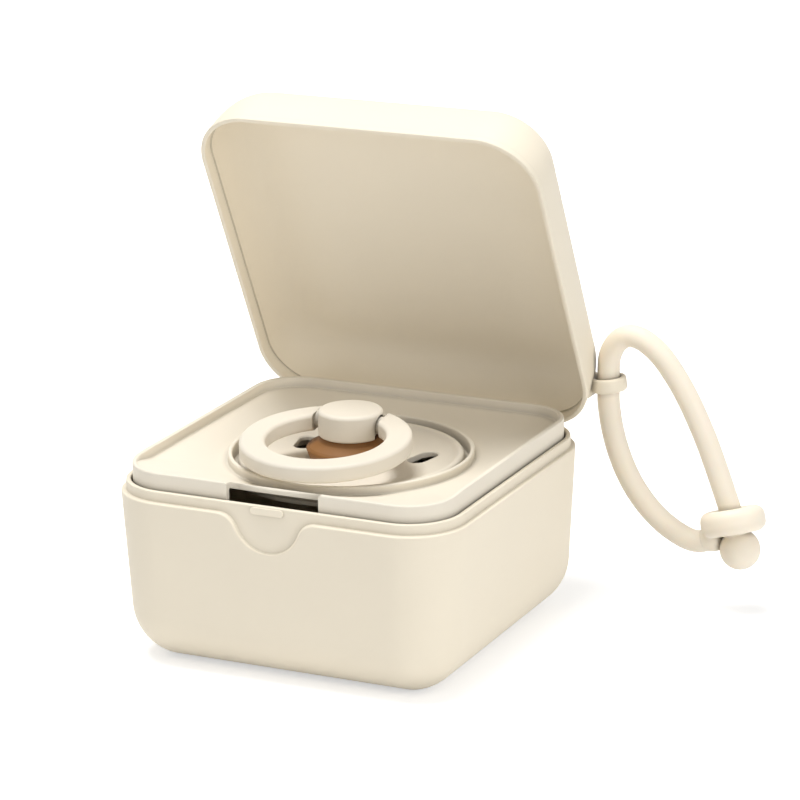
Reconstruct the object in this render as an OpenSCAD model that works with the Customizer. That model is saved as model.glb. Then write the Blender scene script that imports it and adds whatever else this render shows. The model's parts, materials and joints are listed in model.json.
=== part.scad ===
// Pacifier sterilizer case: a rounded square box with a hinged lid and a silicone strap,
// a lift-out tray with a round collar, and the pacifier that stands on it.
// Millimetres, +Z up. The origin is the centre of the flat underside of the base, and the
// front, with the thumb recess, faces -Y.

/* [Case] */
// Width and depth of the case at its shoulder
case_w = 80; // [72:1:110]
// Corner radius of the case in plan
case_r = 13; // [11:0.5:18]
// Height of the base from the table to the shoulder
base_h = 37.7; // [34:0.1:60]
// Draft of the base's side walls in degrees
side_draft = 3.3; // [1:0.1:4]
// Radius that rolls the side walls into the floor
floor_r = 11.4; // [6:0.2:12]
// Thickness of the base's floor
floor_t = 2.2; // [1.6:0.1:3]
// Thickness of the base's wall below the tray's ledge
wall_t = 3; // [2.4:0.1:3.4]

/* [Lip] */
// Step from the outer wall in to the face of the lip
lip_inset = 1.1; // [0.9:0.1:1.5]
// Thickness of the lip
lip_t = 1.1; // [1:0.1:1.5]
// Height of the lip above the shoulder
lip_h = 2.3; // [1.8:0.1:3]
// Length of the catch bar on the front of the lip
catch_w = 7.8; // [6:0.2:12]
// Height of the catch bar
catch_h = 1.6; // [1.2:0.1:1.8]
// How far the catch bar stands out of the lip
catch_out = 0.3; // [0.1:0.05:0.3]

/* [Thumb recess] */
// Half of the width of the recess where it meets the shoulder
recess_half = 11.6; // [9:0.2:14]
// Depth of the recess below the shoulder
recess_deep = 7.9; // [6:0.1:10]
// Radius of the soft turn from the shoulder down into the recess
recess_turn = 4.5; // [3:0.1:5]
// Sideways place of the middle of the recess
recess_x = -0.5; // [-1:0.1:1]

/* [Lid] */
// Height of the lid above the shoulder
lid_h = 16; // [15.5:0.1:20]
// How far the lid's side rolls in towards its flat top
lid_roll = 8; // [6:0.5:10]
// Thickness of the lid's top
lid_t = 2; // [1.6:0.1:2.2]
// Depth of the rebate that drops over the lip
rebate_h = 2.9; // [2.7:0.1:3.4]
// Height of the raised bead round the lid's rim
bead_h = 1.3; // [0.8:0.1:2]
// How far that bead stands out
bead_out = 0.15; // [0.1:0.05:0.3]
// Angle at which the lid stands open
lid_open = 64; // [0:1:90]

/* [Hinge] */
// Radius of the hinge knuckles
knuckle_r = 1.9; // [1.8:0.1:2.1]
// Radius of the steel hinge pin
pin_r = 0.8; // [0.7:0.05:0.9]
// Length of the lid's middle knuckle
lid_knuckle = 31.4; // [24:0.2:36]
// Length of each of the base's two knuckles
base_knuckle = 8; // [6:0.5:10]

/* [Tray] */
// Height of the tray's rim above the shoulder
tray_top = 6.4; // [5.5:0.1:7]
// Depth of the tray's skirt below the shoulder
skirt_deep = 10; // [8:0.5:14]
// Thickness of the skirt
skirt_t = 1.2; // [1:0.1:1.5]
// Thickness of the funnel-shaped deck
deck_t = 1.3; // [1.1:0.1:1.6]
// Width of the raised rim round the deck
rim_t = 1; // [0.8:0.1:1.4]
// Height of the deck at its back and side edges, above the shoulder
deck_edge = 4.5; // [4:0.1:5]
// Height of the deck where it meets the collar, above the shoulder
deck_low = 1.7; // [1:0.1:2.2]
// Outer radius of the round collar
collar_r = 26.65; // [25:0.05:28]
// Thickness of the collar
collar_t = 0.93; // [0.8:0.01:1.2]
// Height of the collar above the shoulder
collar_top = 3.7; // [3.2:0.1:4.2]
// Radius of the opening under the pacifier
tray_hole_r = 20.2; // [16:0.2:21]
// Half of the width of the finger window in the tray's front
window_half = 10.7; // [8:0.1:13]
// Radius of the deck's edge in the window
window_arc = 35.5; // [34.5:0.1:36]

/* [Pacifier] */
// Radius of the shield
shield_r = 24.5; // [21:0.1:25]
// Thickness of the shield's rolled bead
shield_bead = 2.1; // [1.6:0.1:2.4]
// Sideways distance of the two vent holes from the middle
vent_side = 14.1; // [13.5:0.1:15]
// Distance of the vent holes behind the middle
vent_back = 6.1; // [0:0.1:7]
// Angle by which the vent holes splay outwards at the back
vent_splay = 12; // [0:1:20]
// Width of a vent hole
vent_w = 4.2; // [3:0.1:5]
// Length of a vent hole
vent_long = 8.5; // [6:0.1:9]
// Radius of the knob
knob_r = 7.05; // [6.6:0.05:8]
// Height of the knob
knob_h = 5.9; // [5.7:0.1:6.4]
// Height of the knob's underside above the shoulder
knob_low = 6.8; // [6.5:0.1:7]
// Radius of the nipple's bulb
bulb_r = 9; // [7:0.1:10]
// Depth of the nipple's tip below the shoulder
nipple_deep = 27; // [24:0.5:30]

/* [Ring] */
// Outer radius of the ring
ring_r = 18.5; // [16:0.1:20]
// Width of the ring's band
ring_band = 5.65; // [4.5:0.05:6.5]
// Thickness of the ring
ring_t = 3.85; // [3.2:0.05:4]
// Distance from the knob's middle to the ring's middle
ring_reach = 13.3; // [12:0.1:14]
// Height of the ring's axle above the shoulder
axle_z = 9.6; // [9.5:0.05:9.8]
// Turn of the knob and its ring in degrees
ring_turn = 2.5; // [-10:0.5:10]
// Angle by which the ring dips towards the front
ring_dip = 4; // [0:0.5:6]

/* [Strap] */
// Radius of the silicone cord
cord_r = 2.5; // [2:0.05:2.55]
// Outer radius of the strap's buttonhole ring
button_ring_r = 7.2; // [6.5:0.1:8]
// Thickness of the buttonhole ring
button_ring_t = 5.7; // [5:0.1:5.8]
// Angle by which that ring leans back
button_ring_lean = 11; // [0:1:12]
// Radius of the ball that buttons through the ring
ball_r = 4.5; // [4:0.1:4.6]

/* [Eyelet] */
// Outer radius of the lid's eyelet
eyelet_r = 4.05; // [3.95:0.05:5]
// Thickness of the eyelet
eyelet_t = 3.3; // [2.6:0.1:3.4]
// Angle by which the eyelet's free side tilts up
eyelet_tilt = 6; // [0:1:6]
// Distance of the eyelet's middle in front of the hinge axis
eyelet_fore = 8.7; // [8:0.1:12]
// Height of the eyelet's middle above the hinge axis
eyelet_up = 7; // [6:0.1:8]

/* [Hidden] */

ivory = "#E8DDC6";
pale_ivory = "#E3D9C4";
amber = "#B0743C";
steel = "#B9BCC0";
silicone = "#EADFC9";

$fn = 64;
hull_fn = 32;
slice = 0.02;
bite = 0.5;
far = 100;

gap = 0.35;
small_gap = 0.3;
seat_gap = 0.25;
axle_gap = 0.08;
eyelet_gap = 0.3;
button_gap = 0.4;
pin_gap = 0.06;

case_half = case_w / 2;
lip_half = case_half - lip_inset;
lip_r = case_r - lip_inset;
cavity_half = lip_half - lip_t;
cavity_r = lip_r - lip_t;
ledge_z = base_h - skirt_deep - seat_gap;
shoulder_round = 0.4;

recess_bottom_r = (recess_half * recess_half + pow(recess_deep - recess_turn, 2)
    - recess_turn * recess_turn) / (2 * recess_deep);
recess_mid_z = recess_bottom_r - recess_deep;
recess_touch = recess_bottom_r / (recess_bottom_r + recess_turn);

lid_z = base_h + small_gap;
lid_half = case_half + 0.1;
rebate_half = lip_half + gap;
rebate_r = lip_r + gap;
lid_wall = 1.15;
lid_inner_half = lid_half - lid_wall;
lid_inner_low = lid_z + rebate_h;
lid_inner_top = base_h + lid_h - lid_t;
lid_inner_roll = lid_roll + 1;

hinge_y = case_half + 0.6;
hinge_z = base_h + small_gap;
knuckle_clear = knuckle_r + small_gap;
pin_long = lid_knuckle + 2 * small_gap + 2 * base_knuckle - 1;
base_knuckle_x = lid_knuckle / 2 + small_gap;
web_down = 7;
web_up = 6;

tray_half = cavity_half - gap;
tray_r = cavity_r - gap;
seat_z = 0.55;
seat_t = 1.4;
front_ramp_y = -26;

shield_low = seat_z + seat_gap;
shield_mid = 1.5;
shield_t = 1.5;
shield_hole_r = 6.5;
bead_r = shield_bead / 2;

neck_r = 5.6;
nipple_wall = 1.3;
bulb_z = -nipple_deep + bulb_r;
flange_r = 9.8;
stem_r = 4;
plug_head_r = 5.4;
plug_head_h = 0.6;
axle_r = 1.9;
slot_mouth_r = 2.35;
slot_mouth_in = 1.25;

eyelet_x = 42.2;
eyelet_root = 5;

// The strap hangs in one upright plane behind the case, given as [x, z] points.
strap_y = 43.1;
long_route = [[42.2, 48.9], [42.2, 52], [42.5, 55.2], [43.9, 58.2], [46.3, 60.1], [49.1, 60.1],
    [51.8, 58.8], [54.6, 56.5], [57.2, 53.3], [59.6, 49.7], [61.8, 45.8], [63.8, 41.7],
    [65.5, 37.9], [67, 34.1], [68.4, 30.4], [69.7, 26.8], [70.9, 23.4], [72, 19.4]];
short_route = [[42.2, 48.9], [42.2, 45], [42.6, 41.4], [43.3, 37.8], [44.4, 34], [45.9, 30.2],
    [47.8, 26.6], [50.2, 23.2], [53.2, 20], [56.6, 17.4], [60.1, 15.6], [62.2, 15],
    [64, 15], [65.2, 15.4]];
cord_sides = 12;
ball_neck = 5.2;
button_ring_back = 1.3;
button_stub = 2.5;
button_flare = 0.25;

function flat(p) = [p[0], strap_y, p[1]];
function unit(v) = v / norm(v);
function last(v) = v[len(v) - 1];
function end_way(route) = unit(last(route) - route[len(route) - 2]);
function way(route, i) = unit(route[min(i + 1, len(route) - 1)] - route[max(i - 1, 0)]);

// Inset of the base's outer wall at height z, from its draft and the roll into the floor.
function base_inset(z) = (base_h - z) * tan(side_draft)
    + (z < floor_r ? floor_r - sqrt(floor_r * floor_r - pow(floor_r - z, 2)) : 0);
// Inset of a lid surface, at the share t of its height from the rim to the top.
function lid_inset(t, roll) = roll * (1 - pow(1 - pow(t, 2.4), 1 / 2.6));

module rounded_square(half, r) {
    square([2 * half, 2 * (half - r)], center = true);
    square([2 * (half - r), 2 * half], center = true);
    for (x = [-1, 1], y = [-1, 1])
        translate([x * (half - r), y * (half - r)]) circle(r);
}

module rounded_rect(w, h, r) {
    square([w, h - 2 * r], center = true);
    square([w - 2 * r, h], center = true);
    for (x = [-1, 1], y = [-1, 1])
        translate([x * (w / 2 - r), y * (h / 2 - r)]) circle(r);
}

// A thin slice of a rounded square, as a rib of a hulled shell.
module slice_at(z, half, r) {
    translate([0, 0, z]) linear_extrude(slice) rounded_square(half, r, $fn = hull_fn);
}

module along_x(length) {
    rotate([90, 0, 90]) linear_extrude(length, center = true) children();
}

module at_hinge() {
    translate([0, hinge_y, hinge_z]) children();
}

module opened() {
    at_hinge() rotate([-lid_open, 0, 0]) translate([0, -hinge_y, -hinge_z]) children();
}

// Base

module base_outside() {
    least_r = 1.2;
    hull() {
        for (z = [0, 0.25, 0.9, 2, 3.6, 5.6, 8, floor_r, base_h - shoulder_round])
            slice_at(z, case_half - base_inset(z), max(case_r - base_inset(z), least_r));
        slice_at(base_h - slice, case_half - shoulder_round, case_r - shoulder_round);
    }
}

module base_inside() {
    least_r = 1.2;
    inner_r = floor_r - floor_t;
    hull() {
        for (t = [0, 0.15, 0.5, 1]) {
            rise = inner_r * t;
            roll = inner_r - sqrt(inner_r * inner_r - pow(inner_r - rise, 2));
            inset = wall_t + (base_h - floor_t - rise) * tan(side_draft) + roll;
            slice_at(floor_t + rise, case_half - inset, max(case_r - inset, least_r));
        }
        inset_top = wall_t + (base_h - ledge_z) * tan(side_draft);
        slice_at(ledge_z + bite, case_half - inset_top, case_r - inset_top);
    }
}

module recess_outline() {
    translate([recess_x, base_h]) difference() {
        union() {
            translate([0, recess_mid_z]) circle(recess_bottom_r);
            polygon([[-recess_half, 0], [recess_half, 0],
                [recess_half * recess_touch, recess_mid_z - (recess_turn + recess_mid_z) * recess_touch],
                [-recess_half * recess_touch, recess_mid_z - (recess_turn + recess_mid_z) * recess_touch]]);
            translate([-recess_half, 0]) square([2 * recess_half, lip_h + 1]);
        }
        for (x = [-1, 1])
            translate([x * recess_half, -recess_turn]) circle(recess_turn);
    }
}

module thumb_recess() {
    translate([0, -lip_half, 0]) rotate([90, 0, 0]) linear_extrude(3) recess_outline();
}

module catch_bar(w, h, out) {
    translate([recess_x, -lip_half - out, base_h + 1.2]) rotate([-90, 0, 0])
        linear_extrude(out + bite) rounded_rect(w, h, h / 2 - 0.01);
}

// Knuckle and the web that carries it down the back wall.
module base_knuckle_shape() {
    circle(knuckle_r);
    polygon([[knuckle_r, 0], [-0.9, -web_down], [-knuckle_r, -web_down], [-knuckle_r, 0]]);
}

module base_case() {
    color(ivory) difference() {
        union() {
            base_outside();
            translate([0, 0, base_h - 2 * lip_h]) linear_extrude(3 * lip_h)
                rounded_square(lip_half, lip_r);
            catch_bar(catch_w, catch_h, catch_out);
            for (x = [-1, 1])
                translate([x * (base_knuckle_x + base_knuckle / 2), 0, 0])
                    at_hinge() along_x(base_knuckle) base_knuckle_shape();
        }
        base_inside();
        translate([0, 0, ledge_z]) linear_extrude(far) rounded_square(cavity_half, cavity_r);
        thumb_recess();
        at_hinge() along_x(2 * base_knuckle_x) circle(knuckle_clear);
        at_hinge() along_x(far) circle(pin_r);
    }
}

// Lid, shaped as it lies closed on the base and then swung open

module lid_outside() {
    hull() {
        for (t = [0, 0.25, 0.45, 0.62, 0.76, 0.87, 0.95, 0.99, 1]) {
            inset = lid_inset(t, lid_roll);
            slice_at(lid_z + (base_h + lid_h - lid_z - slice) * t, lid_half - inset,
                case_r + 0.1 - inset * 0.6);
        }
    }
}

module lid_inside() {
    hull() {
        for (t = [0, 0.3, 0.5, 0.68, 0.82, 0.93, 1]) {
            inset = lid_inset(t, lid_inner_roll);
            slice_at(lid_inner_low - bite + (lid_inner_top - lid_inner_low + bite) * t,
                lid_inner_half - inset, case_r - lid_wall - inset * 0.6);
        }
    }
}

module lid_knuckle_shape() {
    circle(knuckle_r);
    polygon([[knuckle_r, 0], [-0.4, web_up], [-1.4, web_up], [-1.4, 0]]);
}

module eyelet_frame() {
    translate([eyelet_x, hinge_y - eyelet_fore, hinge_z + eyelet_up])
        rotate([lid_open, 0, 0]) rotate([0, -eyelet_tilt, 0]) children();
}

// The eyelet's ring, the root that joins it to the lid, and a gusset that thickens the root
// towards the lid.
module eyelet_solid() {
    band = eyelet_r - cord_r - eyelet_gap;
    root_t = eyelet_t * 0.9;
    side = 3.5;
    eyelet_frame() {
        rotate_extrude() translate([eyelet_r - band / 2, 0])
            rounded_rect(band, eyelet_t, band * 0.45);
        translate([0, 0, -root_t / 2]) linear_extrude(root_t)
            polygon([[-2, side], [-eyelet_root, side + 1], [-eyelet_root - 2, side + 2],
                [-eyelet_root - 2, -side - 2], [-eyelet_root, -side - 1], [-2, -side]]);
        translate([0, side, 0]) rotate([90, 0, 0]) linear_extrude(2 * side)
            polygon([[-3, root_t / 2], [-eyelet_root, root_t / 2 + 1], [-eyelet_root - 2, root_t],
                [-eyelet_root - 2, -root_t - 1], [-eyelet_root, -root_t], [-3, -root_t / 2]]);
    }
}

module lid() {
    color(ivory) opened() difference() {
        union() {
            lid_outside();
            translate([0, 0, lid_z]) linear_extrude(bead_h)
                rounded_square(lid_half + bead_out, case_r + 0.1 + bead_out);
            at_hinge() along_x(lid_knuckle) lid_knuckle_shape();
            eyelet_solid();
        }
        lid_inside();
        translate([0, 0, lid_z - slice]) linear_extrude(rebate_h) rounded_square(rebate_half, rebate_r);
        translate([0, -small_gap, 0]) catch_bar(catch_w + 1, catch_h + 0.6, catch_out);
        for (x = [-1, 1])
            translate([x * (base_knuckle_x + base_knuckle / 2), 0, 0])
                at_hinge() along_x(base_knuckle + 2 * small_gap) circle(knuckle_clear);
        at_hinge() along_x(far) circle(pin_r + pin_gap);
        eyelet_frame() cylinder(r = cord_r + eyelet_gap, h = 3 * eyelet_t, center = true);
    }
}

module hinge_pin() {
    color(steel) at_hinge() rotate([0, 90, 0]) cylinder(r = pin_r, h = pin_long, center = true);
}

// Tray

// The space over the deck: a funnel from the square edge down to the collar, which rises
// to the top of the wall along the front, where the tray has no raised rim.
module deck_space() {
    inner = tray_half - rim_t;
    inner_r = tray_r - rim_t;
    hull() {
        translate([0, 0, base_h + deck_low]) cylinder(r = collar_r, h = slice, $fn = 64);
        translate([0, 0, base_h + deck_edge]) linear_extrude(far / 5) {
            translate([-inner, front_ramp_y]) square([2 * inner, inner - inner_r - front_ramp_y]);
            for (x = [-1, 1])
                translate([x * (inner - inner_r), inner - inner_r]) circle(inner_r, $fn = hull_fn);
        }
        translate([0, -rim_t - bite, base_h + tray_top]) linear_extrude(far / 5)
            for (x = [-1, 1])
                translate([x * (inner - inner_r), -inner + inner_r]) circle(inner_r, $fn = hull_fn);
    }
}

module tray_outline() {
    rounded_square(tray_half, tray_r);
}

module deck() {
    difference() {
        intersection() {
            translate([0, 0, -deck_t]) deck_space();
            linear_extrude(base_h + tray_top) tray_outline();
        }
        deck_space();
    }
}

module skirt() {
    difference() {
        translate([0, 0, base_h - skirt_deep]) linear_extrude(skirt_deep + tray_top) difference() {
            tray_outline();
            rounded_square(tray_half - skirt_t, tray_r - skirt_t);
        }
        deck_space();
    }
}

module collar() {
    top_r = collar_t * 0.45;
    foot = seat_z - seat_t;
    translate([0, 0, base_h]) rotate_extrude() {
        translate([collar_r - collar_t, foot]) square([collar_t, collar_top - top_r - foot]);
        translate([collar_r - collar_t + top_r, collar_top - top_r]) circle(top_r);
        translate([collar_r - top_r, collar_top - top_r]) circle(top_r);
        translate([collar_r - collar_t + top_r, collar_top - 2 * top_r])
            square([collar_t - 2 * top_r, 2 * top_r]);
        translate([tray_hole_r, foot]) square([collar_r - tray_hole_r - bite, seat_t]);
    }
}

// The front of the tray is open between the two halves of its wall.
module window_cut() {
    linear_extrude(far) difference() {
        translate([-window_half, -case_half]) square([2 * window_half, case_half - tray_hole_r]);
        circle(window_arc, $fn = 128);
    }
    translate([-window_half, -case_half, base_h - skirt_deep - 1])
        cube([2 * window_half, case_half - tray_half + skirt_t + bite, skirt_deep + 1]);
}

module tray() {
    color(pale_ivory) {
        difference() {
            union() {
                deck();
                skirt();
            }
            translate([0, 0, base_h - far / 5]) cylinder(r = collar_r - collar_t, h = far);
            window_cut();
        }
        collar();
    }
}

// Pacifier

module shield_profile() {
    polygon([[shield_hole_r, shield_mid - shield_t], [14.5, shield_mid - shield_t], [19, 0.8],
        [shield_r - bead_r, shield_low + 0.25], [shield_r - bead_r, shield_low + shield_bead - 0.6],
        [21, shield_mid + 0.35], [17, shield_mid + 0.05], [10, shield_mid],
        [shield_hole_r, shield_mid]]);
    translate([shield_r - bead_r, shield_low + bead_r]) circle(bead_r);
}

module vent_hole() {
    run = vent_long - vent_w;
    linear_extrude(far, center = true) {
        square([vent_w, run], center = true);
        for (y = [-1, 1])
            translate([0, y * run / 2]) circle(d = vent_w);
    }
}

module pacifier_shield() {
    color(pale_ivory) translate([0, 0, base_h]) difference() {
        rotate_extrude() shield_profile();
        for (x = [-1, 1])
            translate([x * vent_side, vent_back, 0]) rotate([0, 0, -x * vent_splay]) vent_hole();
    }
}

module nipple_outside() {
    translate([0, 0, bulb_z]) sphere(bulb_r);
    rotate_extrude() polygon([[0, knob_low], [6.4, knob_low], [7, 5.8], [flange_r - 0.6, 4.8],
        [flange_r, 4.2], [flange_r - 1, shield_mid], [shield_hole_r - 0.1, shield_mid],
        [shield_hole_r - 0.1, shield_mid - shield_t], [8, shield_mid - shield_t], [8, -1.2],
        [neck_r, -3], [neck_r - 0.4, bulb_z + 9.2], [neck_r + 0.4, bulb_z + 7.8],
        [bulb_r * 0.82, bulb_z + bulb_r * 0.54], [0, bulb_z + 1]]);
}

module nipple_inside() {
    throat = neck_r - 0.4 - nipple_wall;
    translate([0, 0, bulb_z]) {
        sphere(bulb_r - nipple_wall);
        cylinder(r = throat, h = knob_low - bulb_z - 2);
    }
    translate([0, 0, -1]) cylinder(r = stem_r, h = knob_low + 2);
}

module pacifier_nipple() {
    color(amber) translate([0, 0, base_h]) difference() {
        nipple_outside();
        nipple_inside();
    }
}

module pacifier_plug() {
    color(pale_ivory) translate([0, 0, base_h]) rotate_extrude() {
        translate([0, -1]) square([stem_r, knob_low + 1]);
        translate([0, knob_low]) square([plug_head_r, plug_head_h]);
    }
}

module knob_profile() {
    top_round = 0.9;
    low_round = 0.6;
    difference() {
        union() {
            translate([0, low_round]) square([knob_r, knob_h - top_round - low_round]);
            square([knob_r - top_round, knob_h]);
            square([knob_r - low_round, 2 * low_round]);
            translate([knob_r - top_round, knob_h - top_round]) circle(top_round);
            translate([knob_r - low_round, low_round]) circle(low_round);
        }
        translate([0, -1]) square([plug_head_r + 0.05, plug_head_h + 1]);
    }
}

// A slot along the ring's axle, open below, from a distance out to both sides.
module axle_slot(r, from) {
    translate([0, 0, base_h]) rotate([0, 0, ring_turn])
        for (turn = [0, 180])
            rotate([0, 0, turn]) {
                translate([from, 0, axle_z]) rotate([0, 90, 0]) cylinder(r = r, h = far);
                translate([from, -r, knob_low - 1]) cube([far, 2 * r, axle_z - knob_low + 1]);
            }
}

// The ring's axle drops into a running channel, which widens to a mouth at both ends.
module pacifier_knob() {
    color(pale_ivory) difference() {
        translate([0, 0, base_h + knob_low]) rotate_extrude() knob_profile();
        axle_slot(axle_r + axle_gap, -bite);
        axle_slot(slot_mouth_r, knob_r - slot_mouth_in);
    }
}

module ring_frame() {
    translate([0, 0, base_h + axle_z]) rotate([0, 0, ring_turn]) rotate([ring_dip, 0, 0]) children();
}

module pacifier_ring() {
    round_r = 1.1;
    ends_x = knob_r + 0.7;
    color(pale_ivory) ring_frame() {
        difference() {
            translate([0, -ring_reach, 0]) rotate_extrude($fn = 96)
                translate([ring_r - ring_band / 2, 0]) rounded_rect(ring_band, ring_t, round_r);
            translate([0, ring_reach / 2 - 5, 0]) cube([2 * ends_x, ring_reach + 2, 2 * ring_t], center = true);
        }
        rotate([0, 90, 0]) cylinder(r = axle_r, h = 2 * (ends_x + 1), center = true);
    }
}

// Strap

module tube(route) {
    n = len(route);
    rings = [for (i = [0:n - 1])
        let (w = i == n - 1 ? end_way(route) : way(route, i))
        for (k = [0:cord_sides - 1])
            let (a = 360 * k / cord_sides, side = cord_r * cos(a))
            [route[i][0] - w[1] * side, strap_y + cord_r * sin(a), route[i][1] + w[0] * side]];
    sides = [for (i = [0:n - 2], k = [0:cord_sides - 1])
        let (a = i * cord_sides + k, b = i * cord_sides + (k + 1) % cord_sides)
        each [[a, a + cord_sides, b + cord_sides], [a, b + cord_sides, b]]];
    ends = [for (k = [1:cord_sides - 2]) each [[0, k, k + 1],
        [(n - 1) * cord_sides, (n - 1) * cord_sides + k + 1, (n - 1) * cord_sides + k]]];
    polyhedron(rings, concat(sides, ends), convexity = 6);
}

// Turns +Z to a direction [x, z] in the strap's plane, at a point of it.
module strap_at(p, w) {
    translate(flat(p)) rotate([0, atan2(w[0], w[1]), 0]) children();
}

module strap_long_cord() {
    color(silicone) tube(long_route);
}

module strap_short_cord() {
    color(silicone) tube(short_route);
}

module strap_button_ring() {
    band = button_ring_r - cord_r - button_gap;
    w = end_way(long_route);
    color(silicone) {
        strap_at(last(long_route) - button_ring_back * w, w) rotate([button_ring_lean, 0, 0])
            rotate_extrude() translate([button_ring_r - band / 2, 0])
                rounded_rect(band, button_ring_t, band * 0.49);
        strap_at(last(short_route), end_way(short_route))
            cylinder(r1 = cord_r, r2 = cord_r + button_flare, h = button_stub);
    }
}

module strap_ball() {
    w = end_way(long_route);
    color(silicone) {
        translate(flat(last(long_route) + ball_neck * w)) sphere(ball_r);
        strap_at(last(long_route), w) cylinder(r = cord_r, h = ball_neck);
    }
}

base_case();
lid();
hinge_pin();
tray();
pacifier_shield();
pacifier_nipple();
pacifier_plug();
pacifier_knob();
pacifier_ring();
strap_long_cord();
strap_short_cord();
strap_button_ring();
strap_ball();
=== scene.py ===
"""Looks, light and camera of a pacifier sterilizer case with its tray, pacifier and strap.

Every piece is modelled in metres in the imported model's own frame: the origin is the centre
of the base's underside, +Z is up and the front, with the thumb recess, faces -Y.
"""
import json
import math

import bmesh
import bpy
from mathutils import Matrix, Vector

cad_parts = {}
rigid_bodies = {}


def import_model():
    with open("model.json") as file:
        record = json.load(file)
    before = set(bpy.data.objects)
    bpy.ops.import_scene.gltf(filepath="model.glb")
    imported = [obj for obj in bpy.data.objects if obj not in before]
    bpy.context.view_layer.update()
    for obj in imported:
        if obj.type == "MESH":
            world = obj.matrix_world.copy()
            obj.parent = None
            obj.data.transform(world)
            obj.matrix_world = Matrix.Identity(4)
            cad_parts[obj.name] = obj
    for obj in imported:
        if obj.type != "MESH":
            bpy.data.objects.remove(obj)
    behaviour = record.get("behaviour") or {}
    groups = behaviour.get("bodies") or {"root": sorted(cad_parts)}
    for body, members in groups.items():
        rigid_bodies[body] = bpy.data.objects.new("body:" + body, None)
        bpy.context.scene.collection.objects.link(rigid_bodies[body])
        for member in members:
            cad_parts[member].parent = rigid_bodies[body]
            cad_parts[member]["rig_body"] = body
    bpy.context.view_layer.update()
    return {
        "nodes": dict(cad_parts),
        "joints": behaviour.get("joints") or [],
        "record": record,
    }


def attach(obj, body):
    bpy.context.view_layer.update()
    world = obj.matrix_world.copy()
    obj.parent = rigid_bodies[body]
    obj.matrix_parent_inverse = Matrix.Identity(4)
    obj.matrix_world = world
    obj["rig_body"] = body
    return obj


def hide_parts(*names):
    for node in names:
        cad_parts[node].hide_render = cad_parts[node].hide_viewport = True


bl_info = {
    "name": "Pacifier Sterilizer Case",
    "version": (1, 0, 0),
    "blender": (4, 5, 0),
    "location": "View3D > Sidebar > Case",
    "description": "Models and finishes a pacifier sterilizer case over its packed frame",
    "category": "Object",
}

MM = 0.001
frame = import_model()
JOINTS = {joint["name"]: joint for joint in frame["joints"]}
HINGE = Vector(JOINTS["lid_hinge"]["pos_m"])
AXLE = Vector(JOINTS["ring_swing"]["pos_m"])
EYELET = Vector(JOINTS["strap_swing"]["pos_m"])


def length(name, description, millimetres):
    """A size in metres, given in millimetres."""
    return bpy.props.FloatProperty(
        name=name, description=description, default=millimetres * MM, unit="LENGTH", precision=5
    )


def angle(name, description, degrees):
    """An angle in radians, given in degrees."""
    return bpy.props.FloatProperty(
        name=name, description=description, default=math.radians(degrees), unit="ROTATION"
    )


def number(name, description, value):
    """A plain number."""
    return bpy.props.FloatProperty(name=name, description=description, default=value)


def colour(name, description, red, green, blue):
    """A colour, given as it shows on screen, from 0 to 255."""
    linear = [shade_to_linear(shade / 255) for shade in (red, green, blue)]
    return bpy.props.FloatVectorProperty(
        name=name, description=description, default=linear, subtype="COLOR", min=0, max=1
    )


def shade_to_linear(shade):
    """The linear value of one channel of a colour as it shows on screen."""
    if shade <= 0.04045:
        return shade / 12.92
    return ((shade + 0.055) / 1.055) ** 2.4


class BaseSizes(bpy.types.PropertyGroup):
    """Sizes of the base."""

    width: length("Width", "Width and depth at the shoulder", 80)
    corner: length("Corner", "Corner radius in plan", 13)
    height: length("Height", "Height of the shoulder above the table", 37.7)
    draft: angle("Draft", "Draft of the side walls", 3.3)
    floor_roll: length("Floor roll", "Radius that rolls the walls into the floor", 11.4)
    floor_thick: length("Floor thickness", "Thickness of the floor", 2.2)
    wall_thick: length("Wall thickness", "Thickness of the wall below the tray's ledge", 3)
    edge: length("Edge", "Rounding of the shoulder's edge", 0.45)
    least_corner: length("Least corner", "Smallest corner radius in plan", 1.2)
    lip_inset: length("Lip inset", "Step from the wall in to the lip", 1.1)
    lip_thick: length("Lip thickness", "Thickness of the lip", 1.1)
    lip_height: length("Lip height", "Height of the lip above the shoulder", 2.3)
    lip_edge: length("Lip edge", "Rounding of the lip's two edges", 0.3)
    lip_root: length("Lip root", "Rounding at the lip's root", 0.15)
    ledge_depth: length("Ledge depth", "Depth of the tray's ledge below the shoulder", 10.25)
    recess_half: length("Recess half", "Half width of the thumb recess", 11.6)
    recess_deep: length("Recess depth", "Depth of the thumb recess", 7.9)
    recess_turn: length("Recess turn", "Radius of the turn into the recess", 4.5)
    recess_place: length("Recess place", "Sideways place of the recess", -0.5)
    catch_long: length("Catch length", "Length of the catch bar", 7.8)
    catch_high: length("Catch height", "Height of the catch bar", 1.6)
    catch_out: length("Catch depth", "How far the catch bar stands out", 0.3)
    catch_up: length("Catch place", "Middle of the catch bar above the shoulder", 1.2)


class HingeSizes(bpy.types.PropertyGroup):
    """Sizes of the hinge at the back."""

    radius: length("Knuckle radius", "Radius of the knuckles", 1.9)
    clear: length("Pocket radius", "Radius of the pockets round the knuckles", 2.2)
    lid_long: length("Lid knuckle", "Length of the lid's knuckle", 31.4)
    base_long: length("Base knuckle", "Length of each of the base's knuckles", 8)
    side_gap: length("Side gap", "Gap between knuckles", 0.3)
    web_down: length("Base web", "Depth of the base's webs below the axis", 7)
    web_up: length("Lid web", "Height of the lid's web above the axis", 6)
    lid_web_near: length("Lid web near", "Distance of the lid's web from the axis", 0.4)
    lid_web_far: length("Lid web far", "Distance of the lid web's far side from the axis", 1.4)
    bore: length("Bore", "Radius of the lid's bore", 0.86)


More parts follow.
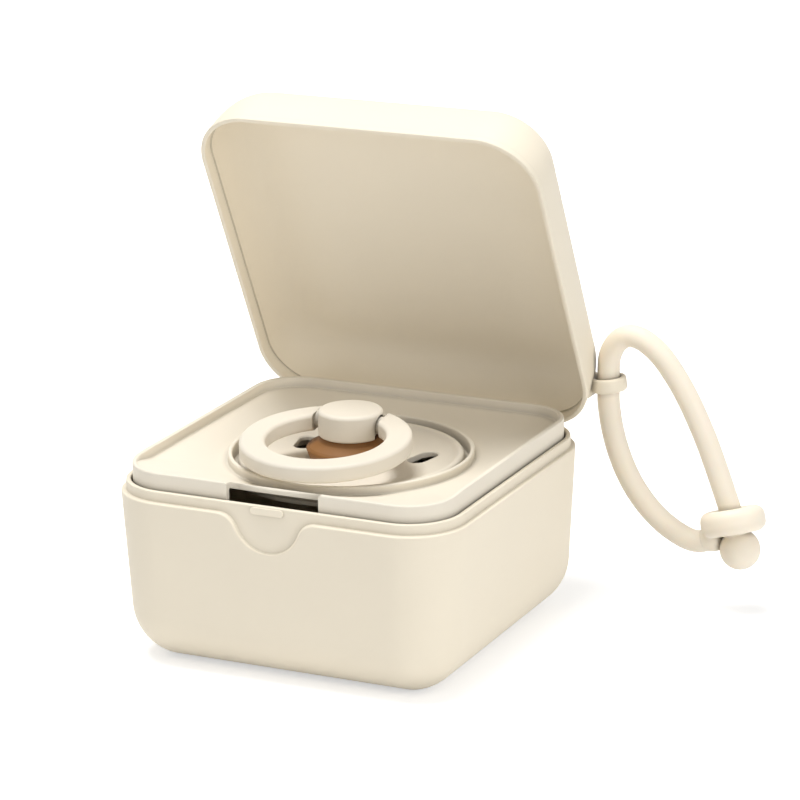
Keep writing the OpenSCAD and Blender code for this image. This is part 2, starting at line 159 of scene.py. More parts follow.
class LidSizes(bpy.types.PropertyGroup):
    """Sizes of the lid."""

    height: length("Height", "Height of the closed lid above the shoulder", 16)
    gap: length("Rim gap", "Gap between the closed lid's rim and the shoulder", 0.3)
    overhang: length("Overhang", "How far the lid's side stands out past the base's", 0.1)
    roll: length("Roll", "How far the side rolls in towards the flat top", 8)
    inner_roll: length("Inner roll", "How far the inside rolls in towards the ceiling", 9)
    thick: length("Top thickness", "Thickness of the top", 2)
    wall: length("Wall", "Wall thickness at the rim", 1.25)
    rebate_in: length("Rebate", "Distance of the rebate's face inside the rim", 0.85)
    rebate_high: length("Rebate height", "Height of the rebate", 2.9)
    bead_high: length("Bead height", "Height of the bead round the rim", 1.3)
    bead_out: length("Bead", "How far the bead stands out", 0.15)
    edge: length("Edge", "Rounding of the rim's edges", 0.25)
    opened: angle("Opened", "Angle at which the lid stands open", 64)
    eyelet_radius: length("Eyelet radius", "Outer radius of the eyelet", 4.05)
    eyelet_thick: length("Eyelet thickness", "Thickness of the eyelet", 3.3)
    eyelet_bore: length("Eyelet bore", "Radius of the eyelet's hole", 2.8)
    eyelet_tilt: angle("Eyelet tilt", "Tilt of the eyelet's free side", 6)


class TraySizes(bpy.types.PropertyGroup):
    """Sizes of the lift-out tray, with heights above the base's shoulder."""

    half: length("Half width", "Half width of the tray", 37.45)
    corner: length("Corner", "Corner radius in plan", 10.45)
    top: length("Top", "Height of the rim", 6.4)
    skirt_deep: length("Skirt depth", "Depth of the skirt below the shoulder", 10)
    skirt_thick: length("Skirt thickness", "Thickness of the skirt", 1.2)
    deck_thick: length("Deck thickness", "Thickness of the deck", 1.3)
    deck_edge: length("Deck edge", "Height of the deck at its sides", 4.2)
    deck_low: length("Deck low", "Height of the deck at the collar", 1.7)
    collar_radius: length("Collar radius", "Outer radius of the collar", 26.65)
    collar_thick: length("Collar thickness", "Thickness of the collar", 0.93)
    collar_top: length("Collar top", "Height of the collar", 3.7)
    hole: length("Opening", "Radius of the opening under the pacifier", 20.2)
    seat: length("Seat", "Height of the seat", 0.55)
    seat_thick: length("Seat thickness", "Thickness of the seat", 1.4)
    window_half: length("Window half", "Half width of the finger window", 10.7)
    window_arc: length("Window arc", "Radius of the deck's edge in the window", 35.5)
    window_corner: length("Window corner", "Rounding of the window's two inner corners", 1.2)
    front_start: length("Front start", "Distance from the middle to where the deck climbs", 24)
    front_run: length("Front run", "Distance over which the deck climbs", 11)
    deck_front: length("Deck front", "Height of the deck along the front", 5.62)
    deck_foot: length("Deck foot", "Distance from the tray's side in to the deck's end", 1.5)


class PacifierSizes(bpy.types.PropertyGroup):
    """Sizes of the pacifier, with heights above the base's shoulder."""

    shield_radius: length("Shield radius", "Radius of the shield", 24.5)
    bead: length("Shield bead", "Thickness of the shield's rolled bead", 2.1)
    shield_low: length("Shield low", "Height of the bead's underside", 0.8)
    shield_mid: length("Shield middle", "Height of the shield's top in the middle", 1.5)
    shield_thick: length("Shield thickness", "Thickness of the shield", 1.5)
    shield_hole: length("Shield hole", "Radius of the hole for the nipple", 6.5)
    vent_side: length("Vent side", "Sideways distance of a vent from the middle", 14.1)
    vent_back: length("Vent back", "Distance of a vent behind the middle", 6.1)
    vent_splay: angle("Vent splay", "Angle by which the vents splay at the back", 12)
    vent_wide: length("Vent width", "Width of a vent", 4.2)
    vent_long: length("Vent length", "Length of a vent", 8.5)
    vent_flare: length("Vent flare", "Rounding of a vent's edges", 0.3)
    knob_radius: length("Knob radius", "Radius of the knob", 7.05)
    knob_high: length("Knob height", "Height of the knob", 5.9)
    knob_low: length("Knob low", "Height of the knob's underside", 6.8)
    knob_edge: length("Knob edge", "Rounding of the knob's top edge", 0.9)
    knob_foot: length("Knob foot", "Rounding of the knob's lower edge", 0.6)
    channel: length("Channel", "Half width of the knob's channel for the axle", 1.98)
    channel_deep: length("Channel depth", "Depth of the cut below the axle", 6)
    mouth: length("Mouth", "Half width of the channel's two mouths", 2.35)
    mouth_deep: length("Mouth depth", "How far the mouths reach in", 1.25)
    channel_edge: length("Channel edge", "Rounding of the channel's edges", 0.25)
    bulb: length("Bulb", "Radius of the nipple's bulb", 9)
    tip: length("Tip", "Depth of the nipple's tip below the shoulder", 27)
    ring_radius: length("Ring radius", "Outer radius of the ring", 18.5)
    ring_band: length("Ring band", "Width of the ring's band", 5.65)
    ring_thick: length("Ring thickness", "Thickness of the ring", 3.85)
    ring_reach: length("Ring reach", "Distance from the axle to the ring's middle", 13.3)
    ring_turn: angle("Ring turn", "Turn of the knob and its ring", 2.5)
    ring_dip: angle("Ring dip", "Angle by which the ring dips to the front", 4)
    ring_edge: length("Ring edge", "Rounding of the ring's section", 0.9)
    ring_gap: length("Ring gap", "Gap between the knob and the ring's two ends", 0.7)
    ring_end: length("Ring end", "Rounding of the ring's two ends", 0.45)
    axle: length("Axle", "Radius of the ring's axle", 1.9)


class StrapSizes(bpy.types.PropertyGroup):
    """Sizes of the silicone strap."""

    cord: length("Cord radius", "Radius of the cord", 2.5)
    ring_radius: length("Ring radius", "Outer radius of the buttonhole ring", 7.2)
    ring_thick: length("Ring thickness", "Thickness of the buttonhole ring", 5.7)
    ring_hole: length("Ring hole", "Radius of the buttonhole", 2.9)
    ring_back: length("Ring place", "How far up the cord the ring sits", 1.3)
    ring_lean: angle("Ring lean", "Angle by which the ring leans back", 11)
    stub: length("Stub", "Length of the stub that joins cord and ring", 2.5)
    flare: length("Flare", "How much the stub widens", 0.25)
    ball: length("Ball", "Radius of the ball", 4.5)
    ball_neck: length("Ball neck", "Distance from the cord's end to the ball", 5.2)


class Finishes(bpy.types.PropertyGroup):
    """Colours of the materials."""

    case: colour("Case", "Ivory plastic of the base and lid", 236, 226, 206)
    tray: colour("Tray", "Ivory plastic of the tray", 233, 225, 209)
    pacifier: colour("Pacifier", "Sand plastic of the pacifier", 225, 217, 202)
    rubber: colour("Rubber", "Natural rubber of the nipple", 136, 93, 48)
    steel: colour("Steel", "Steel of the hinge pin", 190, 192, 196)
    strap: colour("Strap", "Ivory silicone of the strap", 240, 230, 212)


class StudioSettings(bpy.types.PropertyGroup):
    """Camera, floor and lamps."""

    bearing: angle("Bearing", "Bearing of the camera to the right of the front", 26.44)
    rise: angle("Rise", "Angle of the camera above the table", 17.95)
    distance: length("Distance", "Distance of the camera from the case's middle", 817.94)
    roll: angle("Roll", "Roll of the camera", -1.177)
    lens: number("Lens", "Focal length in pixels of the 800 pixel frame", 3783)
    middle_x: number("Middle across", "Pixel column of the case's middle", 351.63)
    middle_y: number("Middle down", "Pixel row of the case's middle", 464.51)
    frame_width: number("Frame width", "Width of the frame in pixels", 800)
    key: number("Key lamp", "Power of the lamp overhead in watts", 10.5)
    front: number("Front lamp", "Power of the lamp in front in watts", 1.9)
    side: number("Side lamp", "Power of the lamp on the right in watts", 5)
    sky: number("Sky", "Strength of the world's light", 0.34)
    floor_lift: number("Floor lift", "Share of plain white that the floor shows", 0.5)


LONG_ROUTE = [
    (42.2, 48.9), (42.2, 52), (42.5, 55.2), (43.9, 58.2), (46.3, 60.1), (49.1, 60.1),
    (51.8, 58.8), (54.6, 56.5), (57.2, 53.3), (59.6, 49.7), (61.8, 45.8), (63.8, 41.7),
    (65.5, 37.9), (67, 34.1), (68.4, 30.4), (69.7, 26.8), (70.9, 23.4), (72, 19.4),
]
SHORT_ROUTE = [
    (42.2, 48.9), (42.2, 45), (42.6, 41.4), (43.3, 37.8), (44.4, 34), (45.9, 30.2),
    (47.8, 26.6), (50.2, 23.2), (53.2, 20), (56.6, 17.4), (60.1, 15.6), (62.2, 15),
    (64, 15), (65.2, 15.4),
]


def sizes(group):
    """One group of the sizes that the panel shows."""
    return getattr(bpy.context.scene, "case_" + group)


def on_shoulder():
    """Height of the base's shoulder, from which the tray and pacifier are measured."""
    return sizes("base").height


# Materials


def add_node(tree, kind, **inputs):
    """A new shader node with its input sockets set."""
    node = tree.nodes.new("ShaderNode" + kind)
    for socket, value in inputs.items():
        node.inputs[socket.replace("_", " ")].default_value = value
    return node


def blank_material(name):
    """A new material, its node tree and its surface shader."""
    material = bpy.data.materials.new(name)
    material.use_nodes = True
    tree = material.node_tree
    return material, tree, tree.nodes["Principled BSDF"]


def moulded(name, tint, roughness, painted_crease_shade, grain=0.04, mottle=0.02, soft=0.0):
    """A moulded plastic or rubber: faintly clouded, with painted shade darkening its creases, and
    with a fine grain.
    """
    material, tree, shader = blank_material(name)
    link = tree.links.new
    place = add_node(tree, "TexCoord")

    cloud = add_node(tree, "TexNoise", Scale=45, Detail=3)
    link(place.outputs["Object"], cloud.inputs["Vector"])
    blend = add_node(tree, "Mix")
    blend.data_type = "RGBA"
    blend.inputs["A"].default_value = (*[shade * (1 - mottle) for shade in tint], 1)
    blend.inputs["B"].default_value = (*[min(1, shade * (1 + mottle)) for shade in tint], 1)
    link(cloud.outputs["Fac"], blend.inputs["Factor"])
    # Painted shade: ambient occlusion darkens the base colour in creases, corners and gaps, down to
    # the given level
    crease = add_node(tree, "AmbientOcclusion", Distance=1.6 * MM)
    crease.samples = 6
    depth = add_node(tree, "MapRange", To_Min=painted_crease_shade)
    link(crease.outputs["AO"], depth.inputs["Value"])
    painted_shade_colour = add_node(tree, "VectorMath")
    painted_shade_colour.operation = "SCALE"
    link(blend.outputs["Result"], painted_shade_colour.inputs["Vector"])
    link(depth.outputs["Result"], painted_shade_colour.inputs["Scale"])
    link(painted_shade_colour.outputs["Vector"], shader.inputs["Base Color"])

    fine = add_node(tree, "TexNoise", Scale=1 / (0.35 * MM), Detail=2)
    link(place.outputs["Object"], fine.inputs["Vector"])
    bump = add_node(tree, "Bump", Strength=grain, Distance=0.05 * MM)
    link(fine.outputs["Fac"], bump.inputs["Height"])
    link(bump.outputs["Normal"], shader.inputs["Normal"])
    wear = add_node(tree, "MapRange", To_Min=roughness - 0.06, To_Max=roughness + 0.06)
    link(cloud.outputs["Fac"], wear.inputs["Value"])
    link(wear.outputs["Result"], shader.inputs["Roughness"])

    if soft:
        shader.inputs["Subsurface Weight"].default_value = soft
        shader.inputs["Subsurface Radius"].default_value = (1, 0.7, 0.45)
        shader.inputs["Subsurface Scale"].default_value = 1.5 * MM
    shader.inputs["Specular IOR Level"].default_value = 0.35
    return material


def drawn_steel(name, tint):
    """Drawn wire, with faint scratches along its length."""
    material, tree, shader = blank_material(name)
    shader.inputs["Base Color"].default_value = (*tint, 1)
    shader.inputs["Metallic"].default_value = 1
    place = add_node(tree, "TexCoord")
    stretch = add_node(tree, "Mapping", Scale=(40, 4000, 4000))
    streaks = add_node(tree, "TexNoise", Scale=1)
    gloss = add_node(tree, "MapRange", To_Min=0.2, To_Max=0.4)
    tree.links.new(place.outputs["Object"], stretch.inputs["Vector"])
    tree.links.new(stretch.outputs["Vector"], streaks.inputs["Vector"])
    tree.links.new(streaks.outputs["Fac"], gloss.inputs["Value"])
    tree.links.new(gloss.outputs["Result"], shader.inputs["Roughness"])
    return material


# Besides roughness, each surface sets how dark its painted crease shade gets, lower being darker
MATT = {"roughness": 0.55, "painted_crease_shade": 0.45}
SURFACES = {
    "case": MATT,
    "tray": MATT,
    "pacifier": MATT,
    "rubber": {"roughness": 0.6, "painted_crease_shade": 0.7, "grain": 0.02, "mottle": 0.05, "soft": 0.15},
    "strap": {"roughness": 0.5, "painted_crease_shade": 0.5, "soft": 0.25},
}


def finish(kind):
    """The material of one kind of surface, made once."""
    name = "finish_" + kind
    if name in bpy.data.materials:
        return bpy.data.materials[name]
    tint = tuple(getattr(sizes("finishes"), kind))
    if kind == "steel":
        return drawn_steel(name, tint)
    return moulded(name, tint, **SURFACES[kind])


SLOTS = {
    "case": "case_plastic",
    "tray": "tray_plastic",
    "pacifier": "pacifier_plastic",
    "rubber": "nipple_rubber",
    "steel": "pin_steel",
    "strap": "strap_silicone",
}


# Meshes


def new_object(name, mesh):
    """An object at the origin that holds a bmesh."""
    data = bpy.data.meshes.new(name)
    mesh.to_mesh(data)
    mesh.free()
    piece = bpy.data.objects.new(name, data)
    bpy.context.scene.collection.objects.link(piece)
    return piece


def place_piece(piece, node, kind):
    """Makes an object the shown form of a CAD node, in its finish, on its node's body."""
    piece.data.materials.clear()
    piece.data.materials.append(finish(kind))
    piece.data.shade_smooth()
    piece.data.set_sharp_from_angle(angle=math.radians(35))
    level = piece.modifiers.new("level", "WEIGHTED_NORMAL")
    level.keep_sharp = True
    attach(piece, frame["nodes"][node]["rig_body"])
    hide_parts(node)
    return piece


def closed_loop(mesh, points):
    """The edges of a closed loop of points."""
    corners = [mesh.verts.new(point) for point in points]
    return [mesh.edges.new(pair) for pair in zip(corners, corners[1:] + corners[:1])]


def skin(rings, closed=False):
    """A bmesh skinned over rings of points, with its two ends capped or joined to each other."""
    mesh = bmesh.new()
    loops = [closed_loop(mesh, ring) for ring in rings]
    for low, high in zip(loops, loops[1:]):
        bmesh.ops.bridge_loops(mesh, edges=low + high)
    if closed:
        bmesh.ops.bridge_loops(mesh, edges=loops[-1] + loops[0])
    else:
        for loop in (loops[0], loops[-1]):
            bmesh.ops.contextual_create(mesh, geom=loop)
    bmesh.ops.recalc_face_normals(mesh, faces=mesh.faces)
    return mesh


def turned(profile, closed=False, steps=128):
    """A bmesh spun from a profile of (radius, height) points about the Z axis."""
    mesh = bmesh.new()
    corners = [mesh.verts.new((across, 0, up)) for across, up in profile]
    pairs = list(zip(corners, corners[1:]))
    if closed:
        pairs.append((corners[-1], corners[0]))
    edges = [mesh.edges.new(pair) for pair in pairs]
    bmesh.ops.spin(
        mesh, geom=corners + edges, cent=(0, 0, 0), axis=(0, 0, 1), angle=math.tau, steps=steps,
        use_merge=True,
    )
    bmesh.ops.remove_doubles(mesh, verts=mesh.verts, dist=0.001 * MM)
    bmesh.ops.recalc_face_normals(mesh, faces=mesh.faces)
    return mesh


def filleted(corners, closed=False, steps=5):
    """Points of an outline whose corners, given as (across, up, radius), are rounded."""
    points = []
    for place, (across, up, radius) in enumerate(corners):
        here = Vector((across, up))
        if not radius or (not closed and place in (0, len(corners) - 1)):
            points.append(here)
            continue
        back = (Vector(corners[place - 1][:2]) - here).normalized()
        ahead = (Vector(corners[(place + 1) % len(corners)][:2]) - here).normalized()
        half_turn = back.angle(ahead) / 2
        run = radius / math.tan(half_turn)
        centre = here + (back + ahead).normalized() * radius / math.sin(half_turn)
        start = here + back * run - centre
        sweep = math.pi - 2 * half_turn
        if back.cross(ahead) > 0:
            sweep = -sweep
        turns = [Matrix.Rotation(sweep * k / steps, 2) for k in range(steps + 1)]
        points.extend(centre + turn @ start for turn in turns)
    return points


def rounded_section(middle, width, height, radius):
    """A rounded rectangle in a spun profile, about a middle at height nought."""
    sides = ((-1, -1), (1, -1), (1, 1), (-1, 1))
    corners = [(middle + x * width / 2, y * height / 2, radius) for x, y in sides]
    return filleted(corners, closed=True)


def rod(radius, reach, sides=64):
    """A bmesh cylinder along X, centred on the origin."""
    mesh = bmesh.new()
    bmesh.ops.create_cone(
        mesh, cap_ends=True, segments=sides, radius1=radius, radius2=radius, depth=reach,
        matrix=Matrix.Rotation(math.radians(90), 4, "Y"),
    )
    return mesh


def block(low, high):
    """A bmesh box between two corners."""
    size = [b - a for a, b in zip(low, high)]
    middle = [(a + b) / 2 for a, b in zip(low, high)]
    place = Matrix.Translation(middle) @ Matrix.Diagonal((*size, 1))
    mesh = bmesh.new()
    bmesh.ops.create_cube(mesh, size=1, matrix=place)
    return mesh


def bake(piece):
    """Applies an object's modifiers to its mesh."""
    graph = bpy.context.evaluated_depsgraph_get()
    finished = bpy.data.meshes.new_from_object(piece.evaluated_get(graph))
    piece.modifiers.clear()
    piece.data = finished


def carve(piece, mesh, matrix=Matrix(), operation="DIFFERENCE"):
    """Cuts a bmesh out of an object, or joins it on."""
    bmesh.ops.transform(mesh, matrix=matrix, verts=mesh.verts)
    cutter = new_object("cutter", mesh)
    tool = piece.modifiers.new("carve", "BOOLEAN")
    tool.operation = operation
    tool.solver = "EXACT"
    tool.object = cutter
    bake(piece)
    bpy.data.objects.remove(cutter)


def soften(piece, radius, least=50, segments=3):
    """Rounds an object's edges that turn by more than an angle in degrees."""
    mesh = bmesh.new()
    mesh.from_mesh(piece.data)
    turn = math.radians(least)
    edges = [edge for edge in mesh.edges if edge.is_manifold and edge.calc_face_angle() > turn]
    bmesh.ops.bevel(
        mesh, geom=edges, offset=radius, segments=segments, profile=0.5, affect="EDGES",
        clamp_overlap=True, material=-1,
    )
    mesh.to_mesh(piece.data)
    mesh.free()


def melt(piece, fine, rounds):
    """Fuses an object's overlapping shells into one skin with soft joins."""
    piece.data.transform(Matrix.Scale(1 / MM, 4))
    fuse = piece.modifiers.new("fuse", "REMESH")
    fuse.mode = "VOXEL"
    fuse.voxel_size = fine / MM
    smooth = piece.modifiers.new("smooth", "SMOOTH")
    smooth.iterations = rounds
    bake(piece)
    piece.data.transform(Matrix.Scale(MM, 4))


# Rounded square shells


def square_point(bearing, half, corner):
    """Where the ray at a bearing from the centre meets a rounded square."""
    across, ahead = abs(math.cos(bearing)), abs(math.sin(bearing))
    core = half - corner
    reach = half / max(across, ahead)
    if min(across, ahead) * reach > core:
        middle = core * (across + ahead)
        reach = middle + math.sqrt(max(0, middle ** 2 - 2 * core ** 2 + corner ** 2))
    return Vector((reach * math.cos(bearing), reach * math.sin(bearing)))


def bearings_round(front, half):
    """Bearings through places along the front, and on round the sides, closer in the corners."""
    bearings = [math.atan2(-half, x) for x in front]
    stop = bearings[0] + math.tau - math.radians(0.5)
    while True:
        in_corner = abs(math.cos(2 * bearings[-1])) < 0.45
        turn = bearings[-1] + math.radians(0.75 if in_corner else 2)
        if turn > stop:
            return bearings
        bearings.append(turn)


def spread(start, stop, count):
    """Even steps from a start to a stop, both counted in."""
    return [start + (stop - start) * k / (count - 1) for k in range(count)]


def square_ring(bearings, half, corner, up):
    """A ring of points on a rounded square at a height."""
    return [(*square_point(bearing, half, corner), up) for bearing in bearings]


def quarter(radius):
    """Steps round a quarter turn: how far each lies inward, and how far below the roll's top."""
    turns = spread(0, math.pi / 2, 6)
    return [(radius * (1 - math.cos(turn)), radius * (1 - math.sin(turn))) for turn in turns]


TILT = 0.02 * MM  # a flat step rises or falls by this much, as rings in one plane can't be bridged


def knuckle(outline, start, stop):
    """A bmesh of a hinge knuckle with its web, given as (Y, Z) points about the hinge, along X."""
    rings = [
        [(x, HINGE.y + across, HINGE.z + up) for across, up in outline] for x in (start, stop)
    ]
    return skin(rings)


def arc(radius, start, stop, count):
    """Points on an arc about the origin between two angles in degrees."""
    turns = [math.radians(turn) for turn in spread(start, stop, count)]
    return [(radius * math.cos(turn), radius * math.sin(turn)) for turn in turns]


# Base


def recess_edge(x):
    """Height of the thumb recess's edge against the shoulder at x, and its outward normal."""
    base = sizes("base")
    half, deep, turn = base.recess_half, base.recess_deep, base.recess_turn
    across = x - base.recess_place
    off = abs(across)
    if off >= half:
        return 0, (0, 1)
    bottom = (half ** 2 + (deep - turn) ** 2 - turn ** 2) / (2 * deep)
    if off < half * bottom / (bottom + turn):
        drop = math.sqrt(bottom ** 2 - off ** 2)
        return bottom - deep - drop, (-across / bottom, drop / bottom)
    rise = math.sqrt(turn ** 2 - (half - off) ** 2)
    return rise - turn, (-math.copysign(half - off, across) / turn, rise / turn)


def base_shell():
    """A bmesh of the base's shell, from the outside of its floor over the lip to the inside."""
    base = sizes("base")
    half, corner, top = base.width / 2, base.corner, base.height
    slope = math.tan(base.draft)
    bearings = bearings_round(spread(-16 * MM, 15 * MM, 105), half)

    def plain(inward, up):
        return square_ring(bearings, half - inward, max(corner - inward, base.least_corner), up)

    def drafted_in(up):
        return (top - up) * slope

    def shoulder_ring(share, inward, back, drafted):
        ring = []
        for bearing in bearings:
            place = square_point(bearing, half, corner)
            drop, normal = recess_edge(place.x) if place.y < -0.9 * half else (0, (0, 1))
            full = top + drop - back * normal[1]
            up = base.floor_roll + (full - base.floor_roll) * share
            inset = inward + (drafted_in(up) if drafted else 0)
            point = square_point(bearing, half - inset, corner - inset)
            ring.append((point.x - back * normal[0] * share ** 4, point.y, up))
        return ring

    rings = []
    for turn in spread(0, math.pi / 2, 14):
        up = base.floor_roll * (1 - math.cos(turn))
        rings.append(plain(drafted_in(up) + base.floor_roll * (1 - math.sin(turn)), up))
    for share in (0.35, 0.7):
        rings.append(shoulder_ring(share, 0, base.edge, True))
    rings += [shoulder_ring(1, inward, drop, True) for inward, drop in quarter(base.edge)]
    for inward, drop in quarter(base.lip_root)[1:]:
        rings.append(shoulder_ring(1, base.lip_inset - drop, -inward, False))

    lip_top = top + base.lip_height
    lip_roll = quarter(base.lip_edge)
    rings += [plain(base.lip_inset + inward, lip_top - drop) for inward, drop in lip_roll]
    inner = base.lip_inset + base.lip_thick
    rings += [plain(inner - inward, lip_top - TILT - drop) for inward, drop in reversed(lip_roll)]
    ledge = top - base.ledge_depth
    rings.append(plain(inner, ledge))
    roll = base.floor_roll - base.floor_thick
    rings.append(plain(base.wall_thick + drafted_in(ledge), ledge - TILT))
    for turn in reversed(spread(0, math.pi / 2, 10)):
        up = base.floor_thick + roll * (1 - math.cos(turn))
        rings.append(plain(base.wall_thick + drafted_in(up) + roll * (1 - math.sin(turn)), up))
    return skin(rings)


def catch_bar():
    """A bmesh of the catch bar on the front of the lip, which stands out most along its foot."""
    base = sizes("base")
    face = -base.width / 2 + base.lip_inset
    run = (base.catch_long - base.catch_high) / 2
    taper = 0.6  # share of its depth that the bar loses from its foot to its top
    rings = []
    for out, shrink in ((-0.4, 0), (0.2, 0), (0.32, 0.03), (0.38, 0.1), (0.4, 0.22)):
        radius = base.catch_high / 2 - shrink * MM
        ring = []
        for side, start in ((1, -90), (-1, 90)):
            for across, up in arc(radius, start, start + 180, 13):
                lean = 1 - taper * up / base.catch_high if out > 0 else 1
                ring.append((
                    base.recess_place + side * run + across,
                    face - out * lean * MM,
                    base.height + base.catch_up + up,
                ))
        rings.append(ring)
    return skin(rings)


class CASE_OT_base(bpy.types.Operator):
    """Makes the base"""

    bl_idname = "case.base"
    bl_label = "Base"

    def execute(self, context):
        hinge = sizes("hinge")
        piece = new_object("base_shell", base_shell())
        inner = hinge.lid_long / 2 + hinge.side_gap
        carve(piece, rod(hinge.clear, 2 * inner), Matrix.Translation(HINGE))
        outline = [
            *arc(hinge.radius, 0, 180, 21),
            (-hinge.radius, -hinge.web_down), (-hinge.radius * 0.47, -hinge.web_down),
        ]
        for start, stop in ((-inner - hinge.base_long, -inner), (inner, inner + hinge.base_long)):
            carve(piece, knuckle(outline, start, stop), operation="UNION")
        carve(piece, rod(hinge.bore, 4 * inner), Matrix.Translation(HINGE))
        carve(piece, catch_bar(), operation="UNION")
        place_piece(piece, "base_case", "case")
        return {"FINISHED"}


# Lid, shaped as it lies closed and then swung open


def lid_shell():
    """A bmesh of the lid's shell, from the outside of its top round the rim to the inside."""
    base, lid = sizes("base"), sizes("lid")
    half, corner = base.width / 2 + lid.overhang, base.corner + lid.overhang
    low, high = base.height + lid.gap, base.height + lid.height
    bearings = bearings_round(spread(-24 * MM, 24 * MM, 25), half)

    def ring(inward, up, shrink=1.0):
        return square_ring(bearings, half - inward, corner - shrink * inward, up)

    def rolled(turn, roll, start, stop, inward):
        """A ring on a fuller curve than a quarter circle, from the rim up to the flat top."""
        share = math.sin(turn) ** (1 / 1.2)
        inset = roll * (1 - math.cos(turn) ** (2 / 2.6)) if turn < math.pi / 2 else roll
        up = start + (stop - start) * share
        return square_ring(bearings, half - inward - inset, corner - inward - 0.6 * inset, up)

    outside = reversed(spread(0.14, math.pi / 2, 22))
    rings = [rolled(turn, lid.roll, low, high, 0) for turn in outside]
    bead, edge = low + lid.bead_high, quarter(lid.edge)
    rings += [ring(0, bead + lid.bead_out), ring(-lid.bead_out, bead)]
    rings += [ring(-lid.bead_out + inward, low + rise) for inward, rise in edge]
    rebate = lid.rebate_in
    rings += [ring(rebate - inward, low + TILT + rise) for inward, rise in reversed(edge)]
    ceiling = low + lid.rebate_high
    rings += [ring(rebate, ceiling), ring(lid.wall, ceiling + TILT)]
    for turn in spread(0.1, math.pi / 2, 20):
        rings.append(rolled(turn, lid.inner_roll, ceiling, high - lid.thick, lid.wall))
    return skin(rings)


def catch_groove():
    """A bmesh of the groove inside the lid's front, which the catch bar snaps into."""
    base, lid = sizes("base"), sizes("lid")
    half = base.catch_long / 2 + 0.5 * MM
    face = -base.width / 2 + base.lip_inset - base.catch_out - lid.gap
    low = base.height + base.catch_up - base.catch_high / 2 - lid.gap
    high = low + base.catch_high + 2 * lid.gap
    return block(
        (base.recess_place - half, face, low), (base.recess_place + half, face + 2 * MM, high)
    )


def eyelet():
    """An object of the eyelet, its ring fused with the root that spreads over the lid's wall."""
    lid = sizes("lid")
    band = lid.eyelet_radius - lid.eyelet_bore
    mesh = turned(
        rounded_section(lid.eyelet_radius - band / 2, band, lid.eyelet_thick, band * 0.45),
        closed=True, steps=64,
    )
    piece = new_object("lid_eyelet", mesh)
    rings = []
    corner = 1.1
    for place, side, over, under in (
        (-3.0, 2.3, 1.4, 1.4), (-3.3, 2.9, 1.6, 1.9), (-3.7, 3.3, 1.9, 2.6), (-4.2, 3.5, 2.2, 3.0),
    ):
        sides = ((-side, -under), (side, -under), (side, over), (-side, over))
        corners = [(y, z, corner) for y, z in sides]
        rings.append([(place * MM, y * MM, z * MM) for y, z in filleted(corners, closed=True)])
    carve(piece, skin(rings), operation="UNION")
    melt(piece, 0.16 * MM, 40)
    tilt = Matrix.Rotation(-lid.eyelet_tilt, 4, "Y")
    piece.data.transform(Matrix.Translation(EYELET) @ tilt)
    return piece


class CASE_OT_lid(bpy.types.Operator):
    """Makes the lid with its eyelet"""

    bl_idname = "case.lid"
    bl_label = "Lid"

    def execute(self, context):
        base, lid, hinge = sizes("base"), sizes("lid"), sizes("hinge")
        piece = new_object("lid_shell", lid_shell())
        outline = [
            *arc(hinge.radius, 137.5, 360, 25),
            (-hinge.lid_web_near, hinge.web_up), (-hinge.lid_web_far, hinge.web_up),
        ]
        carve(piece, knuckle(outline, -hinge.lid_long / 2, hinge.lid_long / 2), operation="UNION")
        inner = hinge.lid_long / 2 + hinge.side_gap
        reach = hinge.base_long + 2 * hinge.side_gap
        for side in (-1, 1):
            place = HINGE + Vector((side * (inner + hinge.base_long / 2), 0, 0))
            carve(piece, rod(hinge.clear, reach), Matrix.Translation(place))
        carve(piece, rod(hinge.bore, 4 * inner), Matrix.Translation(HINGE))
        carve(piece, catch_groove())
        swing = Matrix.Rotation(-lid.opened, 4, "X") @ Matrix.Translation(-HINGE)
        piece.data.transform(Matrix.Translation(HINGE) @ swing)
        place_piece(piece, "lid", "case")
        place_piece(eyelet(), "lid", "case")
        return {"FINISHED"}


# Tray


